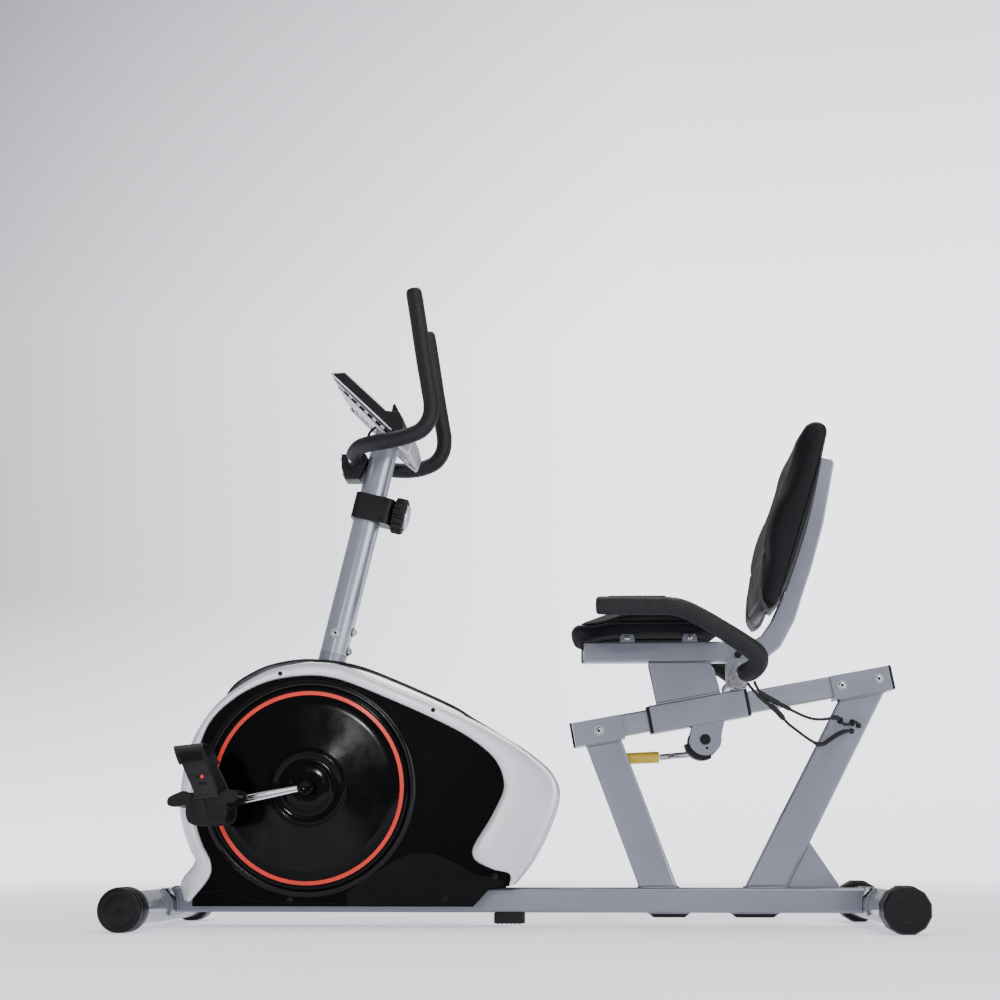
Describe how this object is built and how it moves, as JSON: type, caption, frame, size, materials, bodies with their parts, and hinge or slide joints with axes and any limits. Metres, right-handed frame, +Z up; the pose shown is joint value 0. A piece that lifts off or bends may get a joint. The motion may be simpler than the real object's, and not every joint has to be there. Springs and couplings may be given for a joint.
{
  "type": "exercise bike",
  "caption": "Recumbent exercise bike with belt driven flywheel in a shroud, sliding seat carriage on a sloping rail, tall handlebar, side handles and floor feet",
  "frame": {"origin": "centre of the footprint, on the floor", "axes": "+X runs to the rear of the bike (the rider faces -X), +Y is the rider's right side, +Z is up"},
  "size_m": [1.4081, 0.6, 1.1803],
  "materials": {
    "frame_paint": "satin grey paint",
    "rail_steel": "bare drawn steel",
    "chrome": "polished plating",
    "shroud_silver": "silver moulded plastic",
    "black_plastic": "fine grained moulding",
    "gloss_black": "gloss moulding with a red ring",
    "rubber": "black rubber",
    "foam": "closed cell foam sleeve",
    "vinyl": "grained black vinyl over foam",
    "iron": "turned iron",
    "yellow": "yellow dipped grip",
    "screen": "display window",
    "button": "soft touch key"
  },
  "bodies": {
    "frame": {"base_beam": "frame_paint", "front_foot_tube": "frame_paint", "rear_foot_tube": "frame_paint", "front_cap_left": "black_plastic", "front_cap_right": "black_plastic", "rear_cap_left": "black_plastic", "rear_cap_right": "black_plastic", "beam_pad": "rubber", "front_upright": "frame_paint", "rear_upright": "frame_paint", "seat_rail": "rail_steel", "rail_cap_front": "black_plastic", "rail_cap_rear": "black_plastic", "mast_stub": "frame_paint", "mast": "frame_paint", "tension_collar": "black_plastic", "handlebar_core": "chrome", "grip_left": "foam", "grip_right": "foam", "bar_clamp": "black_plastic", "console_case": "black_plastic", "console_back": "shroud_silver", "console_screen": "screen", "shroud_rim_left": "shroud_silver", "shroud_rim_right": "shroud_silver", "side_panel_left": "black_plastic", "side_panel_right": "black_plastic", "shroud_spine": "black_plastic", "drive_belt": "rubber", "pulse_lead_a": "rubber", "pulse_lead_b": "rubber"},
    "crank": {"crank_axle": "iron", "crank_disc_left": "gloss_black", "crank_disc_right": "gloss_black", "crank_arm_left": "chrome", "crank_arm_right": "chrome"},
    "left_pedal": {"pedal_left": "black_plastic", "pedal_strap_left": "rubber"},
    "right_pedal": {"pedal_right": "black_plastic", "pedal_strap_right": "rubber"},
    "flywheel_body": {"flywheel": "iron"},
    "magnet": {"magnet_arm": "rail_steel"},
    "tension_dial": {"tension_knob": "black_plastic"},
    "carriage": {"carriage_sleeve": "frame_paint", "sleeve_liner_front": "black_plastic", "sleeve_liner_rear": "black_plastic", "seat_stem": "frame_paint", "seat_tube": "frame_paint", "seat_tray": "black_plastic", "seat_cushion": "vinyl", "back_board": "black_plastic", "back_cushion": "vinyl", "side_grip_left": "foam", "side_grip_right": "foam", "handle_crossbar": "chrome"},
    "seat_lock": {"lock_lever": "black_plastic", "lock_grip": "yellow"},
    "key_1": {"console_button_1": "button"},
    "key_2": {"console_button_2": "button"},
    "key_3": {"console_button_3": "button"}
  },
  "joints": [
    {"name": "crank_spin", "type": "hinge", "parent": "frame", "child": "crank", "pos_m": [-0.38, 0, 0.253], "axis": [0, 1, 0], "continuous": true},
    {"name": "pedal_left_spin", "type": "hinge", "parent": "crank", "child": "left_pedal", "pos_m": [-0.54197, -0.2, 0.22152], "axis": [0, 1, 0], "continuous": true},
    {"name": "pedal_right_spin", "type": "hinge", "parent": "crank", "child": "right_pedal", "pos_m": [-0.21803, 0.2, 0.28448], "axis": [0, 1, 0], "continuous": true},
    {"name": "flywheel_spin", "type": "hinge", "parent": "frame", "child": "flywheel_body", "pos_m": [-0.07, 0, 0.205], "axis": [0, 1, 0], "continuous": true},
    {"name": "tension_turn", "type": "hinge", "parent": "frame", "child": "tension_dial", "pos_m": [-0.22344, 0, 0.77305], "axis": [0.9732, 0, -0.23], "range_deg": [0, 300]},
    {"name": "magnet_swing", "type": "hinge", "parent": "frame", "child": "magnet", "pos_m": [-0.04942, 0, 0.10816], "axis": [0, 1, 0], "range_deg": [0, 6]},
    {"name": "carriage_slide", "type": "slide", "parent": "frame", "child": "carriage", "axis": [0.9845, 0, 0.1754], "range_m": [-0.044, 0.148]},
    {"name": "seat_lock_turn", "type": "hinge", "parent": "carriage", "child": "seat_lock", "pos_m": [0.351, 0, 0.342], "axis": [0, 1, 0], "range_deg": [-10, 20]},
    {"name": "key_1_press", "type": "slide", "parent": "frame", "child": "key_1", "axis": [-0.6883, 0, -0.7255], "range_m": [0, 0.0015], "stiffness_N_per_m": 300},
    {"name": "key_2_press", "type": "slide", "parent": "frame", "child": "key_2", "axis": [-0.6883, 0, -0.7255], "range_m": [0, 0.0015], "stiffness_N_per_m": 300},
    {"name": "key_3_press", "type": "slide", "parent": "frame", "child": "key_3", "axis": [-0.6883, 0, -0.7255], "range_m": [0, 0.0015], "stiffness_N_per_m": 300}
  ],
  "couplings": [
    {"joint": "flywheel_spin", "follows": "crank_spin", "ratio": 4},
    {"joint": "magnet_swing", "follows": "tension_turn", "ratio": 0.02}
  ]
}
